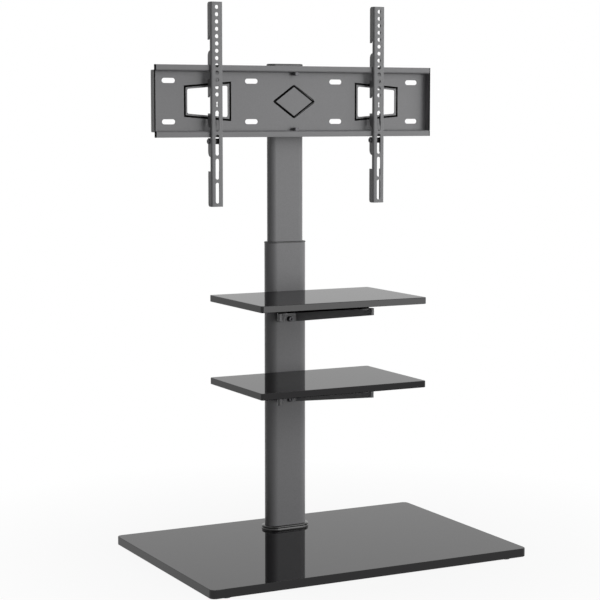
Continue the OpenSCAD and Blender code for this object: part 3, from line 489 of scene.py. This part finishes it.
# Shelf brackets: each is one blank of 3 mm steel, cut, folded into a V with two
# tapering arms and three tabs, and powder coated. The coat rounds its cut edges.


def eased(name, width, material, body):
    """Replaces a CAD node with a copy whose sharp edges are softened, as powder leaves them."""
    weld = 2e-6
    level, crease, sharp = math.radians(0.4), math.radians(32), math.radians(40)
    mesh = node[name].data.copy()
    mesh.name = name + "_eased"
    work = bmesh.new()
    work.from_mesh(mesh)
    bmesh.ops.remove_doubles(work, verts=work.verts, dist=weld)
    bmesh.ops.dissolve_limit(work, angle_limit=level, verts=work.verts, edges=work.edges)
    work.to_mesh(mesh)
    work.free()
    mesh.materials.clear()
    mesh.materials.append(material)
    mesh.shade_smooth()
    mesh.set_sharp_from_angle(angle=crease)
    made = bpy.data.objects.new(name + "_eased", mesh)
    bpy.context.scene.collection.objects.link(made)
    ease = made.modifiers.new("eased edges", "BEVEL")
    ease.width = width
    ease.segments = 2
    ease.angle_limit = sharp
    ease.use_clamp_overlap = False
    ease.harden_normals = True
    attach(made, body)
    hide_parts(name)


thick_edge = 0.0004
sheet_coat = powder_coat("sheet powder coat", coat_tone, grain=640.0, depth=0.00016)
for bracket in ("shelf_bracket_upper", "shelf_bracket_lower"):
    eased(bracket, thick_edge, sheet_coat, "stand")

# Shelf pads: turned rubber blocks that stand on the bracket's tabs and carry the
# board. A shallow dimple in the middle takes the head of the pin that holds each one.


def pad_outline(radius, height, ease, dimple, depth, angle):
    """The dimple with its coved floor, a rounded rim and a chamfered foot."""
    cove, rise = 0.0008, 0.0006
    floor = [(0.0, height - depth), (dimple - cove, height - depth)]
    wall = [(dimple, height - depth + rise), (dimple, height)]
    foot = [(radius, ease), (radius - ease, 0.0), (0.0, 0.0)]
    return [*floor, *wall, *rounded(radius, height, ease), *foot]


pad_names = ["Radius", "Height", "Ease", "Dimple", "Depth"]
pad_tree = lathe("turned pad", pad_names, pad_outline)
pad_rubber = rubber("pad rubber", tone=0.009)
pad_radius = 0.01
for pads in ("shelf_pads_upper", "shelf_pads_lower"):
    pad_low, pad_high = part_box(pads)
    pad_left, pad_right = pad_low.x + pad_radius, pad_high.x - pad_radius
    pad_seats = [Vector((x, pad_low.y + pad_radius, pad_low.z)) for x in (pad_left, pad_right)]
    pad_seats.append(Vector((0, pad_high.y - pad_radius, pad_low.z)))
    pad_sizes = {
        "Radius": pad_radius,
        "Height": pad_high.z - pad_low.z,
        "Ease": 0.0006,
        "Dimple": 0.004,
        "Depth": 0.0015,
    }
    stand(pad_tree, pads, pad_seats, upward, pad_sizes, pad_rubber, "stand")

# Bracket bolts: two socket screws with washers hold each bracket to the column. They
# run into threaded plates that are welded inside the tube.

forward = (math.pi / 2, 0, 0)
bracket_rise = 0.006
bracket_holes = (0.0062, 0.0262)
bracket_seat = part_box("bracket_bolts")[0].y + bracket_rise
bracket_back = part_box("bracket_bolts")[1].y
bracket_seats = []
for bracket in ("shelf_bracket_upper", "shelf_bracket_lower"):
    bracket_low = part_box(bracket)[0].z
    bracket_seats += [Vector((0, bracket_seat, bracket_low + up)) for up in bracket_holes]
bracket_sizes = {
    "Head": 0.005,
    "Height": bracket_rise,
    "Ease": 0.0008,
    "Socket": 0.005,
    "Depth": 0.003,
    "Shank": 0.003,
    "Length": bracket_back - bracket_seat,
}
screws("bracket_bolts", bracket_seats, forward, bracket_sizes, "stand")
dress("bracket_washers", zinc_plate)
dress("bracket_nut_plates", zinc_plate)

# Upper column: the narrower oval tube that slides inside the lower one and carries
# the screen. It has the same powder coat, with a long slot in its back wall.

dress("upper_column", tube_coat)

# Column cap: a glossy moulded plastic lid, a hair wider than the tube. Its hollow plug
# is pushed into the tube's open end and holds it there.


def cap_outline(straight, outer, plug, height, drop, angle):
    """A rounded lid with a hollow plug under it."""
    ease, wall = 0.0024, 0.002
    lid = [(0.0, height), *rounded(outer, height, ease, steps=5), (outer, 0.0)]
    skirt = [(plug, 0.0), (plug, 0.0 - drop), (plug - wall, 0.0 - drop), (plug - wall, 0.0)]
    return [*lid, *skirt, (0.0, 0.0)]


cap_plastic = moulded(
    "cap plastic", tone=0.01, polish=0.08, grain_scale=1100.0, grain_depth=0.0001
)
cap_step = 0.003
cap_low, cap_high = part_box("column_cap")
cap_outer = (cap_high.y - cap_low.y) / 2
cap_seat = Vector((0, (cap_low.y + cap_high.y) / 2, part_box("upper_column")[1].z))
cap_names = ["Straight", "Outer", "Plug", "Height", "Drop"]
cap_tree = lathe("oval cap", cap_names, cap_outline, around=96)
cap_sizes = {
    "Straight": cap_high.x - cap_low.x - 2 * cap_outer,
    "Outer": cap_outer,
    "Plug": cap_outer - cap_step,
    "Height": cap_high.z - cap_seat.z,
    "Drop": cap_seat.z - cap_low.z,
}
stand(cap_tree, "column_cap", [cap_seat], upward, cap_sizes, cap_plastic, "mast")

# Glide: a nylon shoe pressed onto the upper tube's hidden bottom end. It keeps the tube
# centred in the lower one and the slide quiet.

dress("mast_glide", bush_plastic)

# Swivel yoke: a 3 mm steel strap folded into a C, with a rounded nose on each ear for
# the pivot. Four low-headed screws hold it to a threaded plate inside the tube.

eased("swivel_yoke", thick_edge, sheet_coat, "mast")
yoke_head, yoke_rise = 0.005, 0.003
yoke_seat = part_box("yoke_bolts")[0].y + yoke_rise
yoke_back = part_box("yoke_bolts")[1].y
yoke_corners = corners("yoke_bolts", yoke_head, (0, 2))
yoke_seats = [Vector((at.x, yoke_seat, at.z)) for at in yoke_corners]
yoke_sizes = {
    "Head": yoke_head,
    "Height": yoke_rise,
    "Ease": 0.001,
    "Socket": 0.004,
    "Depth": 0.0018,
    "Shank": 0.003,
    "Length": yoke_back - yoke_seat,
}
screws("yoke_bolts", yoke_seats, forward, yoke_sizes, "mast")
dress("yoke_nut_plate", zinc_plate)

# Pivots: a socket screw comes down through the upper ear and another up through the
# lower one. Each passes a nylon washer and the tray's wall into a nut inside the tray.


def nut_outline(across, height, bore, angle):
    """A hexagon nut whose corners are chamfered at both ends."""
    chamfer = 0.0004
    side = hexagon(across, angle)
    drop = 0.5 * (side - across / 2)
    hole = [(bore, chamfer), (bore, height - chamfer), (bore + chamfer, height)]
    top = [(across / 2, height), (side, height - drop)]
    bottom = [(side, drop), (across / 2, 0.0), (bore + chamfer, 0.0), (bore, chamfer)]
    return [*hole, *top, *bottom]


nut_tree = lathe("hexagon nut", ["Across", "Height", "Bore"], nut_outline)
pivot_rise, nut_height = 0.0046, 0.0065
pivot_low, pivot_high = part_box("pivot_bolts")
pivot_middle = (pivot_low + pivot_high) / 2
nut_low, nut_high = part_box("pivot_nuts")
wall_half = (nut_high.z - nut_low.z) / 2
head_half = (pivot_high.z - pivot_low.z) / 2 - pivot_rise
nut_half = wall_half - nut_height
both_ways = [upward, downward]
pivot_seats = [pivot_middle + Vector((0, 0, side * head_half)) for side in (1, -1)]
pivot_sizes = {
    "Head": 0.0065,
    "Height": pivot_rise,
    "Ease": 0.001,
    "Socket": 0.006,
    "Depth": 0.0026,
    "Shank": 0.004,
    "Length": head_half - wall_half + nut_height,
}
screws("pivot_bolts", pivot_seats, both_ways, pivot_sizes, "head")
nut_seats = [pivot_middle + Vector((0, 0, side * nut_half)) for side in (1, -1)]
pivot_nut_sizes = {"Across": 0.013, "Height": nut_height, "Bore": 0.0041}
stand(nut_tree, "pivot_nuts", nut_seats, both_ways, pivot_nut_sizes, zinc_screw, "head")
dress("pivot_washers", bush_plastic)

# Mount tray: one long 2 mm steel pressing with folded lips and welded ends. Grooves are
# pressed round its two windows and in a plain diamond in the middle.

# Where the tray's painted shade lies: the grooves round the windows, the diamond and the lips'
# ends.
window_middle, window_half, window_rise, window_slope = 0.20275, 0.04635, 0.02925, 0.0809
groove_gap, groove_half = 0.0057, 0.0021
diamond_across, diamond_up, diamond_reach = 0.5817, 0.8135, 0.02705
face_near, face_far = 0.0175, 0.0212
left_lip, right_lip, lip_depth = 0.004, 0.0022, 0.0022


def tray_painted_shade(draw, place):
    """Painted shade: 1 in the pressed grooves and at the lips' folded ends, 0 on the open faces.
    """
    low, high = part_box("mount_tray")
    x, y, z = [
        draw.node("ShaderNodeSeparateXYZ", sockets={0: place}, output=axis) for axis in range(3)
    ]
    up = draw.maths("ABSOLUTE", z - (low.z + high.z) / 2)
    out = draw.maths("ABSOLUTE", x)
    along = out - window_middle
    ends = draw.maths("ABSOLUTE", along) - window_half
    reach = draw.maths("MAXIMUM", ends, up - window_rise + window_slope * along)
    window = draw.maths("ABSOLUTE", reach - groove_gap) < groove_half
    edge = out * diamond_across + up * diamond_up - diamond_reach
    diamond = draw.maths("ABSOLUTE", edge) < groove_half
    face = (y < low.y + face_far) * (low.y + face_near < y)
    left = x < low.x + left_lip
    right = high.x - right_lip < x
    lip = draw.maths("MAXIMUM", left, right) * (y < low.y + lip_depth)
    return draw.maths("MAXIMUM", draw.maths("MAXIMUM", window, diamond) * face, lip)


thin_edge = 0.0003
# The tray's coat has painted shade in its grooves and at its lips' ends.
tray_coat = powder_coat("tray powder coat", coat_tone, 640.0, 0.00016, tray_painted_shade)
eased("mount_tray", thin_edge, tray_coat, "head")

# Screen arms: two folded 2 mm channels punched with round holes and slots. Notches in
# their flanges let them hook over the tray's lips and slide to the screen's width.

eased("arm_left", thin_edge, sheet_coat, "left_arm")
eased("arm_right", thin_edge, sheet_coat, "right_arm")

# Lock screws: each runs through both flanges of its arm, just below the tray, inside a
# plastic sleeve and into a nut, so that the arm can't be lifted off.

leftward = (0, -math.pi / 2, 0)
rightward = (0, math.pi / 2, 0)
lock_end = 0.0012
lock_nut_sizes = {"Across": 0.01, "Height": 0.0018, "Bore": 0.0031}
lock_sizes = {
    "Head": 0.00525,
    "Height": 0.0033,
    "Ease": 0.0008,
    "Socket": 0.004,
    "Depth": 0.0019,
    "Shank": 0.003,
}
for side in ("left", "right"):
    body = side + "_arm"
    arm_low, arm_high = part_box("arm_" + side)
    lock_low, lock_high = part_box("lock_screw_" + side)
    lock_middle = (lock_low + lock_high) / 2
    lock_at = Vector((arm_low.x, lock_middle.y, lock_middle.z))
    nut_at = Vector((arm_high.x, lock_middle.y, lock_middle.z))
    lock_sizes["Length"] = arm_high.x + lock_end - arm_low.x
    screws("lock_screw_" + side, [lock_at], leftward, lock_sizes, body)
    nut = "lock_nut_" + side
    stand(nut_tree, nut, [nut_at], rightward, lock_nut_sizes, zinc_screw, body)
    dress("lock_sleeve_" + side, bush_plastic)

# Studio: a pale floor that runs to a white horizon and keeps a soft shadow under the
# base, with large soft lamps round the stand.


def shown(draw):
    """1 where the background is seen: by the eye, in a gloss or through glass."""
    kinds = ("Is Camera Ray", "Is Glossy Ray", "Is Transmission Ray")
    eye, gloss, glass = [draw.node("ShaderNodeLightPath", output=kind) for kind in kinds]
    return draw.maths("MAXIMUM", draw.maths("MAXIMUM", eye, gloss), glass)


def floor_paper():
    """White to the eye far out, and lit like paper close to the object, so the shadow stays."""
    material = bpy.data.materials.new("studio floor")
    material.use_nodes = True
    tree = material.node_tree
    tree.nodes.clear()
    draw = Wire(tree)
    place = draw.node("ShaderNodeTexCoord", output="Object")
    reach = draw.node(
        "ShaderNodeVectorMath", {"operation": "LENGTH"}, {0: place}, output="Value"
    )
    fade = {"Value": reach, "From Min": 0.3, "From Max": 1.0, "To Min": 0.92, "To Max": 1.0}
    far = draw.node("ShaderNodeMapRange", sockets=fade)
    grey, plain_white = (0.35, 0.35, 0.35, 1.0), (1, 1, 1, 1)
    paper = draw.node("ShaderNodeBsdfDiffuse", sockets={"Color": grey})
    glow = {"Color": plain_white, "Strength": 1.0}
    white = draw.node("ShaderNodeEmission", sockets=glow)
    mixed = draw.node("ShaderNodeMixShader", sockets={0: shown(draw) * far, 1: paper, 2: white})
    join(mixed, tree.nodes.new("ShaderNodeOutputMaterial"), "Surface")
    return material


floor_radius, floor_sides = 60, 64
floor_angles = [i * math.pi / (floor_sides / 2) for i in range(floor_sides)]
floor_edge = [(floor_radius * math.cos(a), floor_radius * math.sin(a), 0) for a in floor_angles]
floor_mesh = bpy.data.meshes.new("studio_floor")
floor_mesh.from_pydata(floor_edge, [], [tuple(range(floor_sides))])
floor_mesh.materials.append(floor_paper())
floor = bpy.data.objects.new("studio_floor", floor_mesh)
bpy.context.scene.collection.objects.link(floor)

world = bpy.data.worlds.new("studio")
bpy.context.scene.world = world
world.use_nodes = True
world.node_tree.nodes.clear()
draw = Wire(world.node_tree)
sky_light = 0.05
sky = draw.node(
    "ShaderNodeBackground",
    sockets={"Color": (1, 1, 1, 1), "Strength": sky_light + (1 - sky_light) * shown(draw)},
)
join(sky, world.node_tree.nodes.new("ShaderNodeOutputWorld"), "Surface")


def lamp(name, place, target, width, height, strength):
    """A large softbox; strength is its brightness, where 1 is paper white."""
    light = bpy.data.lights.new(name, "AREA")
    light.shape = "RECTANGLE"
    light.size = width
    light.size_y = height
    light.energy = strength * width * height * math.pi
    made = bpy.data.objects.new(name, light)
    made.location = place
    towards = Vector(target) - Vector(place)
    made.rotation_euler = towards.to_track_quat("-Z", "Y").to_euler()
    made.visible_camera = False
    bpy.context.scene.collection.objects.link(made)


lamp("key softbox", (1.8, -3.12, 1.06), (0, 0, 1.06), 1.93, 2.08, strength=3.1)
lamp("high softbox", (2.55, -2.55, 2.65), (0, 0, 0.8), 3.9, 1.1, strength=2.6)
lamp("front softbox", (0.0, -3.6, 1.3), (0, 0, 1.3), 1.93, 2.08, strength=1.2)
lamp("right softbox", (3.12, -1.8, 1.06), (0, 0, 1.06), 1.93, 2.08, strength=1.9)
lamp("side softbox", (3.48, 0.93, 1.06), (0, 0, 1.06), 3.9, 2.08, strength=0.5)
lamp("top softbox", (0.0, 0.0, 4.0), (0, 0, 0.5), 3.0, 3.0, strength=1.1)

# Camera: a long lens on a full-frame body, at the photograph's viewing angle. It stands
# 3.7 m away to the front left, level with the tray, and looks a little down.

camera = bpy.data.cameras.new("camera")
camera.sensor_width = 36.0
camera.lens = 105.18
camera.clip_end = 200.0
look_down, look_right = 6.07, 27.29
view = bpy.data.objects.new("camera", camera)
view.location = (-1.7217, -3.2499, 0.9344)
view.rotation_euler = (math.radians(90 - look_down), 0, math.radians(-look_right))
bpy.context.scene.collection.objects.link(view)
bpy.context.scene.camera = view

bpy.context.scene.view_settings.view_transform = "Standard"
bpy.context.view_layer.update()
